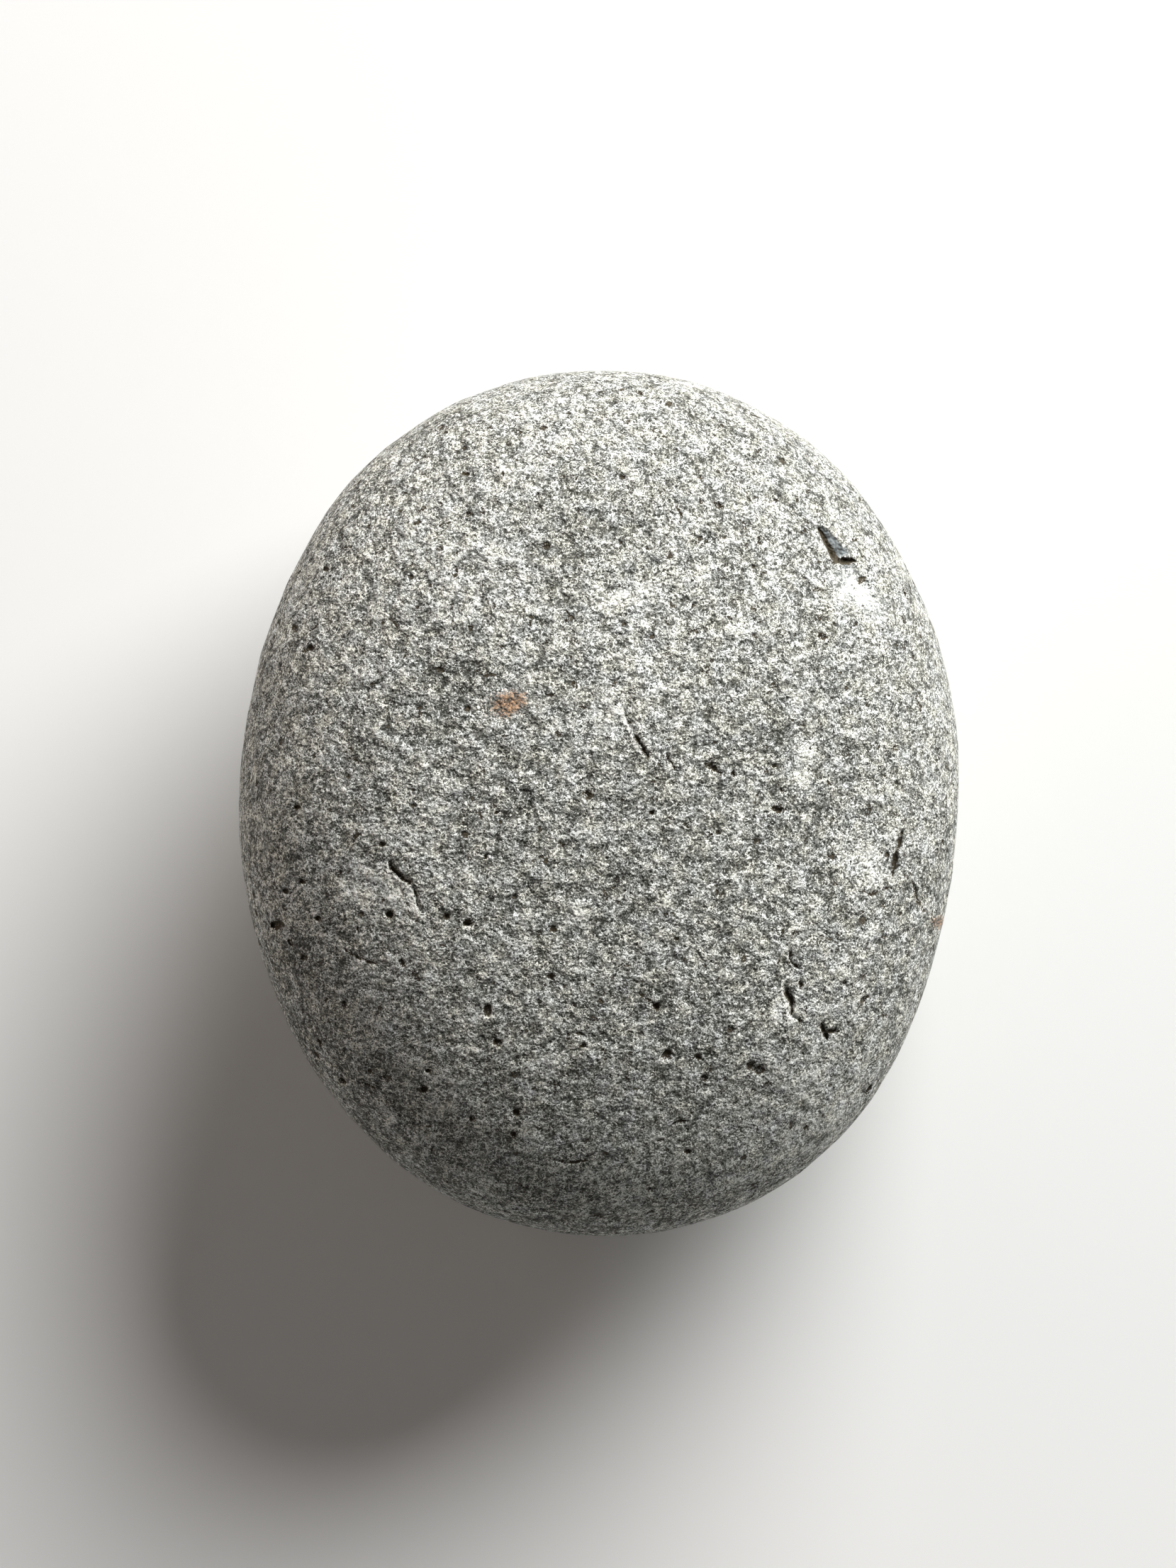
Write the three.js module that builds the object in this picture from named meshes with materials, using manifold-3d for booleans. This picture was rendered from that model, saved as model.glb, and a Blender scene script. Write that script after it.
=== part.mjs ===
// A worn, egg-shaped pebble of grey speckled stone, lying on its broad underside.
// +Z is up, +Y runs along the pebble and +X across it. The origin is under the middle of the
// pebble, on the ground, and every size is in millimetres.
import * as THREE from 'three';
import { mergeVertices } from 'three/addons/utils/BufferGeometryUtils.js';
import Module from 'manifold-3d';

// Driving dimensions
const WIDTH = 31.6;
const LENGTH = 38.0;
const FACE_RISE = 9.5; // the domed top, above the widest outline
const BELLY_DROP = 10.5; // the underside, below the widest outline
const REST_CUT = 0.22; // worn off the underside, which leaves the flat spot it rests on
const FULLNESS = 2.3; // 2 is an ellipsoid, and more makes flatter faces and rounder shoulders
const LEAN = 0.12; // how far the widest outline drops for each millimetre from left to right
const LUMP = 0.08; // height of each of the broad, gentle swells
const CELLS = 22; // cells along each edge of the cube that the skin is wrapped from

// How far the outline strays from an ellipse: [lobes around it, height, angle of a lobe in degrees]
const OUTLINE_LOBES = [[3, 0.07, 47], [4, 0.11, 38], [6, 0.05, 6]];

// Broad swells: [wavelength across, wavelength along, phase in radians]
const SWELLS = [[17, 29, 0.4], [-21, 15, 1.9], [44, -13, 3.1]];

// Pits in the top: [x, y, length, width, depth, turn of the length from +X in degrees]
const PITS = [
  [9.85, 11.4, 2.0, 0.75, 0.55, 100], [10.55, 10.75, 1.1, 0.55, 0.4, -8], [11.1, 9.4, 2.9, 1.0, 0.3, -50],
  [13.95, -4.15, 1.4, 1.0, 0.2, 70], [-14.08, -5.37, 0.55, 0.5, 0.25, 0], [-9.15, -4.76, 0.5, 0.4, 0.25, 0],
  [-5.76, -5.23, 0.6, 0.35, 0.2, 0], [-5.04, -2.26, 0.5, 0.3, 0.2, 25], [-13.03, -3.41, 0.4, 0.35, 0.2, 0],
  [-7.66, -12.45, 0.45, 0.4, 0.2, 0], [-3.67, -13.37, 0.4, 0.35, 0.2, 0], [2.3, -8.71, 0.7, 0.35, 0.25, -20],
  [2.24, -0.42, 0.35, 0.35, 0.2, 0], [7.67, -0.33, 0.55, 0.3, 0.2, 0], [-5.75, 12.5, 0.4, 0.35, 0.2, 0],
  [-11.97, 10.1, 0.4, 0.35, 0.2, 0], [-12.6, 6.7, 0.4, 0.3, 0.2, 0], [10.61, -7.79, 0.4, 0.35, 0.2, 0],
];

// Cracks in the top, each as its width and the points that it passes through
const CRACKS = [
  { width: 0.34, points: [[-9.32, -2.41], [-8.89, -3.03], [-8.33, -3.47], [-8.05, -3.97], [-7.87, -4.65]] },
  { width: 0.26, points: [[1.01, 4.12], [1.24, 3.57], [1.42, 2.75], [1.97, 2.02]] },
  { width: 0.28, points: [[13.08, -1.25], [12.87, -2.08], [12.74, -2.91], [12.72, -3.29]] },
  { width: 0.24, points: [[8.19, -6.24], [8.33, -6.88], [8.65, -7.2], [8.69, -7.7]] },
  { width: 0.28, points: [[8.01, -7.79], [8.14, -8.25], [8.33, -9.21], [8.65, -9.48]] },
  { width: 0.28, points: [[9.6, -9.53], [9.74, -9.89], [9.88, -10.35]] },
  { width: 0.22, points: [[-11.04, -6.6], [-10.27, -6.87], [-9.54, -7.07], [-8.33, -6.79]] },
];

const PIT_SEGMENTS = 10;
const PIT_RINGS = 6;
const CRACK_SIDES = 6;
const CRACK_STEP = 0.35;
const NORMAL_STEP = 0.05;
const GROUND_BLOCK = 60;

/** Distance from the middle to the widest outline: an ellipse with a few low lobes. */
function outlineRadius(angle) {
  const ellipse = 1 / Math.hypot(Math.cos(angle) / (WIDTH / 2), Math.sin(angle) / (LENGTH / 2));
  const stray = OUTLINE_LOBES.reduce(
    (sum, [lobes, height, at]) => sum + height * Math.cos(lobes * (angle - THREE.MathUtils.degToRad(at))), 0);
  return ellipse + stray;
}

/** Height of the broad swells at a place seen from above. */
function swell(x, y) {
  return LUMP * SWELLS.reduce(
    (sum, [across, along, phase]) => sum + Math.sin(2 * Math.PI * (x / across + y / along) + phase), 0);
}

/** Height of the skin at (x, y), where dome goes from 0 at the outline to 1 at the middle. */
function skinHeight(x, y, dome, isTop) {
  const swells = dome * swell(x, y);
  return isTop
    ? FACE_RISE * dome - LEAN * x + swells
    : -BELLY_DROP * dome - LEAN * x * (1 - dome * dome) + swells * (1 - dome);
}

/** Height of the domed top at (x, y), measured from the middle of the widest outline. */
function topHeight(x, y) {
  const out = Math.hypot(x, y) / outlineRadius(Math.atan2(y, x));
  return skinHeight(x, y, (1 - Math.min(out, 1) ** FULLNESS) ** (1 / FULLNESS), true);
}

/** A point on the skin, found by going out from the middle along a direction. */
function skinPoint(direction) {
  const { x, y, z } = direction;
  const level = Math.hypot(x, y) / outlineRadius(Math.atan2(y, x));
  const depth = z > 0 ? FACE_RISE : BELLY_DROP;
  const reach = (level ** FULLNESS + (Math.abs(z) / depth) ** FULLNESS) ** (-1 / FULLNESS);
  const dome = (Math.abs(z) / depth) * reach;
  return new THREE.Vector3(x * reach, y * reach, skinHeight(x * reach, y * reach, dome, z > 0));
}

/** The whole skin: a cube's grid blown out to the pebble, with cells of nearly equal size. */
function skinGeometry() {
  const geometry = new THREE.BoxGeometry(2, 2, 2, CELLS, CELLS, CELLS);
  const position = geometry.getAttribute('position');
  const bow = (value) => Math.tan(value * Math.PI / 4);
  const direction = new THREE.Vector3();
  for (let i = 0; i < position.count; i += 1) {
    direction.set(bow(position.getX(i)), bow(position.getY(i)), bow(position.getZ(i))).normalize();
    direction.multiply(new THREE.Vector3(WIDTH / 2, LENGTH / 2, FACE_RISE));
    position.setXYZ(i, ...skinPoint(direction).toArray());
  }
  return geometry;
}

/** Turn that takes +Z to the outward normal of the top at (x, y). */
function topTurn(x, y) {
  const slopeX = (topHeight(x + NORMAL_STEP, y) - topHeight(x - NORMAL_STEP, y)) / (2 * NORMAL_STEP);
  const slopeY = (topHeight(x, y + NORMAL_STEP) - topHeight(x, y - NORMAL_STEP)) / (2 * NORMAL_STEP);
  const normal = new THREE.Vector3(-slopeX, -slopeY, 1).normalize();
  return new THREE.Quaternion().setFromUnitVectors(new THREE.Vector3(0, 0, 1), normal);
}

/** The stone that a pit has lost: an ellipsoid lying in the skin. */
function pitGeometry([x, y, length, width, depth, turn]) {
  const geometry = new THREE.SphereGeometry(1, PIT_SEGMENTS, PIT_RINGS);
  geometry.rotateX(Math.PI / 2);
  geometry.scale(length / 2, width / 2, depth);
  geometry.rotateZ(THREE.MathUtils.degToRad(turn));
  geometry.applyQuaternion(topTurn(x, y));
  return geometry.translate(x, y, topHeight(x, y));
}

/** The stone that a crack has lost: a thin six-sided rod laid along the skin. */
function crackGeometry({ width, points }) {
  const onSkin = points.map(([x, y]) => new THREE.Vector3(x, y, topHeight(x, y)));
  const path = new THREE.CatmullRomCurve3(onSkin);
  const section = new THREE.Shape();
  section.absarc(0, 0, width / 2, 0, 2 * Math.PI);
  const steps = Math.ceil(path.getLength() / CRACK_STEP);
  return new THREE.ExtrudeGeometry(section, { extrudePath: path, steps, curveSegments: CRACK_SIDES / 2 });
}

/** The ground: a block whose top is level with the flat rest spot. */
function groundGeometry() {
  const geometry = new THREE.BoxGeometry(GROUND_BLOCK, GROUND_BLOCK, GROUND_BLOCK);
  return geometry.translate(0, 0, -GROUND_BLOCK / 2 - BELLY_DROP + REST_CUT);
}

const wasm = await Module();
wasm.setup();

/** A three.js geometry as a solid that can be cut. */
function toSolid(geometry) {
  const bare = geometry.clone();
  bare.deleteAttribute('normal');
  bare.deleteAttribute('uv');
  const merged = mergeVertices(bare, 1e-4);
  const vertProperties = new Float32Array(merged.getAttribute('position').array);
  const triVerts = new Uint32Array(merged.getIndex().array);
  return new wasm.Manifold(new wasm.Mesh({ numProp: 3, vertProperties, triVerts }));
}

/** A cut solid as a three.js geometry again. */
function toGeometry(solid) {
  const mesh = solid.getMesh();
  const geometry = new THREE.BufferGeometry();
  geometry.setAttribute('position', new THREE.BufferAttribute(mesh.vertProperties, mesh.numProp));
  geometry.setIndex(new THREE.BufferAttribute(mesh.triVerts, 1));
  return geometry;
}

/** The pebble, cut flat underneath, pitted and cracked on top, and set down on the ground. */
function stoneGeometry() {
  const lost = [...PITS.map(pitGeometry), ...CRACKS.map(crackGeometry), groundGeometry()];
  const solid = lost.reduce((left, geometry) => left.subtract(toSolid(geometry)), toSolid(skinGeometry()));
  const geometry = toGeometry(solid);
  geometry.computeBoundingBox();
  const { min, max } = geometry.boundingBox;
  geometry.translate(-(min.x + max.x) / 2, -(min.y + max.y) / 2, -min.z);
  geometry.scale(WIDTH / (max.x - min.x), LENGTH / (max.y - min.y), 1);
  geometry.computeVertexNormals();
  return geometry;
}

const stoneMaterial = new THREE.MeshStandardMaterial({ color: 0x9a9a92, roughness: 0.85, metalness: 0 });
const stone = new THREE.Mesh(stoneGeometry(), stoneMaterial);
stone.name = 'stone';

const pebble = new THREE.Group();
pebble.add(stone);

export default pebble;
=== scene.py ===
"""A worn, egg-shaped pebble of grey speckled stone, lying on a pale studio floor.

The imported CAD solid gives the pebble's place and size. This script lays a fine skin over it, with
the knocks, pits and cracks of a pebble that a river has rolled, and gives it the felted grey and
white grain of the stone. Sizes inside the pebble's own classes are in millimetres.
"""

import logging
import math
from collections.abc import Mapping, Sequence
from dataclasses import dataclass, field
from enum import Enum

import bmesh
import bpy
import numpy as np
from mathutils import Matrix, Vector


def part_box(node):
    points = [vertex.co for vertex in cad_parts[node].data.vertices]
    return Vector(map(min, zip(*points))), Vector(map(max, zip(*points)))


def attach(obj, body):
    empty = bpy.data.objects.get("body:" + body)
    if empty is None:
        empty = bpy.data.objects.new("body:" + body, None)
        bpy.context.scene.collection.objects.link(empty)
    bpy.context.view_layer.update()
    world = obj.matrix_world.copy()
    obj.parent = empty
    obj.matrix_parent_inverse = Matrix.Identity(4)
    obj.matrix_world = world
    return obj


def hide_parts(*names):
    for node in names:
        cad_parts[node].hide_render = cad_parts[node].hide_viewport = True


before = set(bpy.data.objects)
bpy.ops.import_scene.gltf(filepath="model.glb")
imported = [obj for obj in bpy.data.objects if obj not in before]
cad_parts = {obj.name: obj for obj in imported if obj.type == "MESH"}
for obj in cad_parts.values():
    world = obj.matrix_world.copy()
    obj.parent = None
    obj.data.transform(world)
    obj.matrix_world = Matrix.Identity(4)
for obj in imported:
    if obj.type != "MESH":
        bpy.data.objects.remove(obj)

LOG = logging.getLogger("pebble")
MM = 0.001
STONE_NODE = "stone"

Array = np.ndarray
Place = tuple[float, float]
Tree = bpy.types.NodeTree
Socket = bpy.types.NodeSocket


# ---------------------------------------------------------------- numbers and noise

# What folds and scrambles a lattice corner into a random number: large primes and mixing factors
LATTICE_PRIMES = np.array([73856093, 19349663, 83492791], dtype=np.uint64)
SEED_FACTOR = 2654435761
SCRAMBLES = ((15, 2246822519), (13, 3266489917))
LAST_SHIFT = np.uint64(16)
LOW_32_BITS = np.uint64(0xFFFFFFFF)


def ease(values: Array, low: float, high: float) -> Array:
    """A smooth step: 0 below low, 1 above high, and 3t^2 - 2t^3 between.

    Args:
        values: What is tested.
        low: Where the step starts. It may lie above high, and then the step runs down.
        high: Where the step ends.

    Returns:
        The step at each value.
    """
    share = np.clip((values - low) / (high - low), 0.0, 1.0)
    return share * share * (3.0 - 2.0 * share)


def lattice_value(corners: Array, seed: int) -> Array:
    """A fixed random value for each corner of a cubic lattice.

    The three whole-number places are multiplied by large primes, folded together and scrambled.

    Args:
        corners: Whole-number places, one row of three for each corner.
        seed: Picks one of many such lattices.

    Returns:
        Values from -1 to 1.
    """
    mixed = (corners.astype(np.uint64) * LATTICE_PRIMES).sum(axis=1) + np.uint64(seed * SEED_FACTOR)
    for shift, factor in SCRAMBLES:
        mixed = (mixed ^ (mixed >> np.uint64(shift))) * np.uint64(factor) & LOW_32_BITS
    mixed ^= mixed >> LAST_SHIFT
    return mixed.astype(float) / 2.0**31 - 1.0


def lattice_noise(points: Array, cell: float, seed: int) -> Array:
    """Smooth noise: lattice values, eased from corner to corner of each cubic cell.

    Args:
        points: Places, one row of three for each.
        cell: The size of a lattice cell, in the same unit.
        seed: Picks the lattice.

    Returns:
        Values from -1 to 1, with no jump anywhere.
    """
    base = np.floor(points / cell)
    share = points / cell - base
    smooth = share * share * (3.0 - 2.0 * share)
    corners = base.astype(np.int64)
    total = np.zeros(len(points))
    for corner in np.ndindex(2, 2, 2):
        weight = np.prod(np.where(np.array(corner, dtype=bool), smooth, 1.0 - smooth), axis=1)
        total += weight * lattice_value(corners + np.array(corner), seed)
    return total


# ---------------------------------------------------------------- the pebble's smooth form


@dataclass(frozen=True)
class PebbleForm:
    """The smooth form of the pebble, in millimetres, as its CAD solid has it.

    Seen from above, the outline is an ellipse with a few low lobes. Upwards and downwards the form
    closes as a superellipsoid: (r / outline)^n + (h / depth)^n = 1, where n is the fullness. The
    widest outline leans, so it stands higher on the left than on the right, and the lean dies out
    towards the underside. A lobe is its count round the outline, its height and where it points, in
    degrees. A swell is a low wave with a length across and a length along, and a phase.
    """

    width: float = 31.6
    length: float = 38.0
    face_rise: float = 9.5
    belly_drop: float = 10.5
    rest_cut: float = 0.22
    fullness: float = 2.3
    lean: float = 0.12
    lump: float = 0.08
    outline_lobes: tuple[tuple[int, float, float], ...] = ((3, 0.07, 47), (4, 0.11, 38), (6, 0.05, 6))
    swells: tuple[tuple[float, float, float], ...] = ((17, 29, 0.4), (-21, 15, 1.9), (44, -13, 3.1))

    def outline(self, angle: Array) -> Array:
        """Distance from the middle to the widest outline, in each direction seen from above.

        Args:
            angle: Directions in radians, counted from +X towards +Y.

        Returns:
            An ellipse's radius, plus a cosine for each lobe.
        """
        radius = 1.0 / np.hypot(np.cos(angle) / (self.width / 2), np.sin(angle) / (self.length / 2))
        for lobes, height, at in self.outline_lobes:
            radius = radius + height * np.cos(lobes * (angle - math.radians(at)))
        return radius

    def skin(self, directions: Array) -> Array:
        """Where the skin lies in each direction from the middle.

        Args:
            directions: One row of three for each, of any length but zero.

        Returns:
            Points on the skin, with the middle of the widest outline at the origin.
        """
        across, along, up = directions.T
        level = np.hypot(across, along) / self.outline(np.arctan2(along, across))
        is_top = up > 0
        depth = np.where(is_top, self.face_rise, self.belly_drop)
        reach = (level**self.fullness + (np.abs(up) / depth) ** self.fullness) ** (-1 / self.fullness)
        x, y = across * reach, along * reach
        dome = np.abs(up) / depth * reach
        swell = sum(np.sin(2 * np.pi * (x / wide + y / long) + phase) for wide, long, phase in self.swells)
        swell = self.lump * swell * dome
        top = self.face_rise * dome - self.lean * x + swell
        belly = -self.belly_drop * dome - self.lean * x * (1 - dome * dome) + swell * (1 - dome)
        return np.column_stack([x, y, np.where(is_top, top, belly)])


# ---------------------------------------------------------------- the marks of wear


class Layer(Enum):
    """What wear leaves on the skin, with painted shade in its hollows, and the name of the attribute that
    carries it.
    """

    CUT = "cut"
    GRIME_AND_SHADE = "grime_and_shade"
    BRUISE = "bruise"
    RUST = "rust"
    SPLIT = "split"
    TONE = "tone"


class Wear:
    """What wear has done at each point of the skin: how deep it cut, and what it left behind.

    The cut is in millimetres, and inward is the direction it goes in. Grime and shade paints a hollow dark
    brown, as grime and as painted shade, bruising whitens crushed stone, rust reddens it and a split leaves
    it smooth, each from 0 to 1.
    Tone makes a patch paler or, below 0, darker.
    """

    def __init__(self, count: int) -> None:
        """Starts with an unworn skin of count points."""
        self.layers = {layer: np.zeros(count) for layer in Layer}
        self.inward = np.zeros((count, 3))

    def add(self, where: Array, parts: Mapping[Layer, Array]) -> None:
        """Lays one mark over the skin. Tones add up, and otherwise the stronger value stays.

        Args:
            where: The points that the mark reaches, as whole-number places in the skin.
            parts: What the mark does at those points, layer by layer.
        """
        for layer, amount in parts.items():
            held = self.layers[layer]
            held[where] = held[where] + amount if layer is Layer.TONE else np.maximum(held[where], amount)


def on_path(plan: Array, path: Sequence[Place]) -> tuple[Array, Array]:
    """Where points lie against a path of straight stretches.

    Each point is dropped square onto every stretch, and the nearest foot counts.

    Args:
        plan: Points, one row of two for each.
        path: The path's corners in order.

    Returns:
        The distance to the path, which is positive to its left, and how far along it the foot
        lies, from 0 at its start to 1 at its end.
    """
    corners = np.array(path, dtype=float)
    steps = np.diff(corners, axis=0)
    lengths = np.hypot(*steps.T)
    starts = np.concatenate([[0.0], np.cumsum(lengths)[:-1]])
    side = np.full(len(plan), np.inf)
    along = np.zeros(len(plan))
    for corner, step, length, start in zip(corners, steps, lengths, starts):
        offset = plan - corner
        foot = np.clip(offset @ step / length**2, 0.0, 1.0)
        away = np.hypot(*(offset - foot[:, None] * step).T)
        sign = np.where(step[0] * offset[:, 1] - step[1] * offset[:, 0] < 0, -1.0, 1.0)
        nearer = away < np.abs(side)
        side = np.where(nearer, sign * away, side)
        along = np.where(nearer, (start + foot * length) / lengths.sum(), along)
    return side, along


# How far a mark can reach past its middle line: a share of its size, and a margin in millimetres
REACH = 0.6
REACH_MARGIN = 0.1


def out_of_oval(plan: Array, middle: Place, size: Place, turn: float) -> Array:
    """How far out points lie in an oval: 0 at its middle, 1 on its rim and more outside.

    Args:
        plan: Points, one row of two for each.
        middle: The oval's middle.
        size: Its length and width.
        turn: How its length is turned from +X, in degrees.

    Returns:
        The distance of each point, with the oval drawn in to a circle of radius 1.
    """
    angle = math.radians(turn)
    offset = plan - np.array(middle)
    long = offset @ np.array([math.cos(angle), math.sin(angle)]) / (size[0] / 2)
    wide = offset @ np.array([-math.sin(angle), math.cos(angle)]) / (size[1] / 2)
    return np.hypot(long, wide)


@dataclass(frozen=True)
class Pit:
    """A bowl knocked or weathered out of the skin, oval seen from above, with a ragged rim.

    Steepness is how much of the oval the full grime and painted shade fills, and the flat floor is a share of
    that. Fray is how far noise moves the rim, and white is how much crushed stone lies on it. The floor is
    painted dark brown: grime, and painted shade in the hollow.
    """

    x: float
    y: float
    length: float
    width: float
    depth: float
    turn: float = 0.0
    grime_and_shade: float = 1.05
    white: float = 0.0
    steepness: float = 0.75
    floor: float = 0.6
    fray: float = 0.5
    lip: Place = (1.15, 0.25)

    def near(self, plan: Array) -> Array:
        """Which points, seen from above, lie in the pit or close to it."""
        away = np.hypot(*(plan - np.array([self.x, self.y])).T)
        return away < REACH * self.length + REACH_MARGIN

    def press(self, plan: Array, ragged: Array, wear: Wear, where: Array) -> None:
        """Cuts the pit: full depth over the inner part of the oval, eased out to its rim.

        The crushed lip is a ring at lip[0] times the rim, fading out over lip[1] to either side.

        Args:
            plan: The points it reaches, seen from above.
            ragged: Noise from -1 to 1 at those points, which frays the rim.
            wear: What is worn so far.
            where: The places of those points in the skin.
        """
        out = out_of_oval(plan, (self.x, self.y), (self.length, self.width), self.turn)
        out = out * (1 + self.fray * ragged)
        ring, fade = self.lip
        # The pit's floor is painted dark brown: grime, and painted shade in the hollow.
        wear.add(where, {Layer.CUT: self.depth * ease(out, 1.0, self.steepness * self.floor),
                         Layer.BRUISE: ease(np.abs(out - ring), fade, 0.0) * self.white,
                         Layer.GRIME_AND_SHADE: self.grime_and_shade * ease(out, 1.0, self.steepness)})


@dataclass(frozen=True)
class Crack:
    """An open crack: a narrow V along a crooked path, thinning to nothing at both ends.

    Lip is how white the crushed stone beside it is: left of the path when above 0, right below 0.
    Blunt is the power that rounds its ends, pinch how hard noise pinches it off, and pinched what
    share of its width is left there. Hair is the least half width, in millimetres. The crack counts
    out to so many widths of its lip.
    """

    path: tuple[Place, ...]
    width: float
    depth: float
    grime_and_shade: float = 1.15
    lip: float = 0.5
    lip_width: float = 0.16
    lip_reach: float = 1.5
    blunt: float = 0.3
    pinch: float = 0.9
    pinched: float = 0.35
    fray: float = 0.35
    hair: float = 0.05
    valley: Place = (1.15, 0.2)
    grime_and_shade_edge: Place = (1.2, 0.5)

    def near(self, plan: Array) -> Array:
        """Which points, seen from above, lie in the crack or on its lip."""
        reach = REACH * self.width + self.lip_reach * self.lip_width
        return np.abs(on_path(plan, self.path)[0]) < reach

    def press(self, plan: Array, ragged: Array, wear: Wear, where: Array) -> None:
        """Cuts the crack: as deep as its depth in the middle, with steep walls out to its width.

        The half width at share a of the way along is (4a(1 - a))^blunt of the whole, less where noise
        pinches it. The cut falls from valley[0] half widths out to its full depth at valley[1], and the dark
        brown of grime and painted shade on its floor fades in over the crack's last pair of half widths.

        Args:
            plan: The points it reaches, seen from above.
            ragged: Noise from -1 to 1 at those points, which frays the walls.
            wear: What is worn so far.
            where: The places of those points in the skin.
        """
        side, along = on_path(plan, self.path)
        taper = np.clip(4 * along * (1 - along), 0.0, 1.0) ** self.blunt
        taper = taper * np.clip(1.0 + self.pinch * ragged, self.pinched, 1.0)
        half = np.maximum(0.5 * self.width * taper * (1 + self.fray * ragged), self.hair)
        out = np.abs(side) / half
        past_wall = side * np.sign(self.lip) - half
        crushed = ease(np.abs(past_wall - 0.5 * self.lip_width), self.lip_width, 0.0)
        # The crack's floor is painted dark brown: grime, and painted shade in the groove.
        wear.add(where, {Layer.CUT: self.depth * ease(out, *self.valley) * taper,
                         Layer.BRUISE: abs(self.lip) * crushed * taper,
                         Layer.GRIME_AND_SHADE: self.grime_and_shade * ease(out, *self.grime_and_shade_edge) * taper})


@dataclass(frozen=True)
class Notch:
    """A slot split off along a straight wall: sheer at the wall, with a floor that climbs away from it.

    Widths and depths are at its start and its end. The eased steps say, in shares of the slot, where
    its ends close, where its wall drops, and how far up the climbing floor the dark brown of grime and
    painted shade and the split reach.
    """

    start: Place
    end: Place
    start_width: float
    end_width: float
    start_depth: float
    end_depth: float
    grime_and_shade: float = 1.0
    reach: float = 1.2
    fray: float = 0.12
    wall_fray: float = 0.03
    drop: Place = (-0.05, 0.03)
    first_end: Place = (-0.02, 0.1)
    last_end: Place = (1.03, 0.97)
    grime_and_shade_span: Place = (0.55, 0.85)
    split: Place = (0.05, 0.3)

    def near(self, plan: Array) -> Array:
        """Which points, seen from above, lie in the notch or close to it."""
        away = np.abs(on_path(plan, (self.start, self.end))[0])
        return away < self.reach * max(self.start_width, self.end_width)

    def press(self, plan: Array, ragged: Array, wear: Wear, where: Array) -> None:
        """Cuts the notch: depth falls evenly from the wall on its right, out to its width on the left.

        Args:
            plan: The points it reaches, seen from above.
            ragged: Noise from -1 to 1 at those points, which frays the far side.
            wear: What is worn so far.
            where: The places of those points in the skin.
        """
        wall = np.array(self.end) - np.array(self.start)
        run = float(np.hypot(*wall))
        offset = plan - np.array(self.start)
        along = offset @ wall / run**2
        away = (wall[0] * offset[:, 1] - wall[1] * offset[:, 0]) / run + self.wall_fray * ragged
        share = np.clip(along, 0.0, 1.0)
        width = self.start_width + (self.end_width - self.start_width) * share
        depth = self.start_depth + (self.end_depth - self.start_depth) * share
        climb = np.clip(1.0 - away / (width * (1 + self.fray * ragged)), 0.0, 1.0)
        inside = ease(away, *self.drop) * ease(along, *self.first_end) * ease(along, *self.last_end)
        # The floor by the wall is painted dark brown: grime, and painted shade.
        wear.add(where, {Layer.CUT: depth * climb * inside,
                         Layer.GRIME_AND_SHADE: self.grime_and_shade * ease(climb, *self.grime_and_shade_span) * inside,
                         Layer.SPLIT: ease(climb, *self.split) * inside})


@dataclass(frozen=True)
class Patch:
    """A blurred patch of another tone, where the grain is paler, darker or rusty. It cuts nothing.

    Fade is where it starts to fade and where it has faded out, as shares of the oval.
    """

    x: float
    y: float
    length: float
    width: float
    strength: float
    turn: float = 0.0
    layer: Layer = Layer.TONE
    fray: float = 0.25
    fade: Place = (0.2, 1.4)

    def near(self, plan: Array) -> Array:
        """Which points, seen from above, the patch can tone."""
        return np.hypot(*(plan - np.array([self.x, self.y])).T) < self.length

    def press(self, plan: Array, ragged: Array, wear: Wear, where: Array) -> None:
        """Tones the patch: full strength in the middle of an oval, eased out past its edge.

        Args:
            plan: The points it reaches, seen from above.
            ragged: Noise from -1 to 1 at those points, which frays the edge.
            wear: What is worn so far.
            where: The places of those points in the skin.
        """
        out = out_of_oval(plan, (self.x, self.y), (self.length, self.width), self.turn)
        full, gone = self.fade
        wear.add(where, {self.layer: self.strength * ease(out * (1 + self.fray * ragged), gone, full)})


Mark = Pit | Crack | Notch | Patch

ARC_POINTS = 7


def crescent(x: float, y: float, radius: float, turn: float, sweep: float, width: float) -> Crack:
    """A knock mark: a short arc where another stone struck and sprang a thin shell loose.

    Args:
        x: The arc's centre, across.
        y: The arc's centre, along.
        radius: Radius of the arc.
        turn: Where the middle of the arc lies, in degrees from +X.
        sweep: How much of a circle it covers, in degrees.
        width: Width of the crack.

    Returns:
        A crack whose path is the arc.
    """
    angles = np.radians(turn + np.linspace(-sweep / 2, sweep / 2, ARC_POINTS))
    path = tuple((x + radius * math.cos(a), y + radius * math.sin(a)) for a in angles)
    return Crack(path, width, depth=0.8 * width, grime_and_shade=0.8, lip=0.5, lip_width=0.14)


# The marks that stand out on the top lie in these groups, at their places seen from above

# The slot near the upper right shoulder, its toe, and the clean chip below it
SLOT_AND_CHIP: tuple[Mark, ...] = (
    Notch((9.4, 12.0), (10.1, 10.5), 0.3, 1.0, 0.4, 0.9, grime_and_shade=1.3),
    Pit(10.6, 10.5, 1.0, 0.36, 0.42, -3, grime_and_shade=1.2),
    Pit(11.2, 9.4, 2.8, 1.1, 0.14, -52, grime_and_shade=0.0, steepness=0.9),
    Patch(11.2, 9.3, 2.9, 1.25, 0.7, -52, Layer.SPLIT),
    Patch(11.2, 9.3, 2.9, 1.25, 0.55, -52, Layer.BRUISE), Patch(11.2, 8.6, 3.6, 2.0, 0.12, -50),
)

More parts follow.
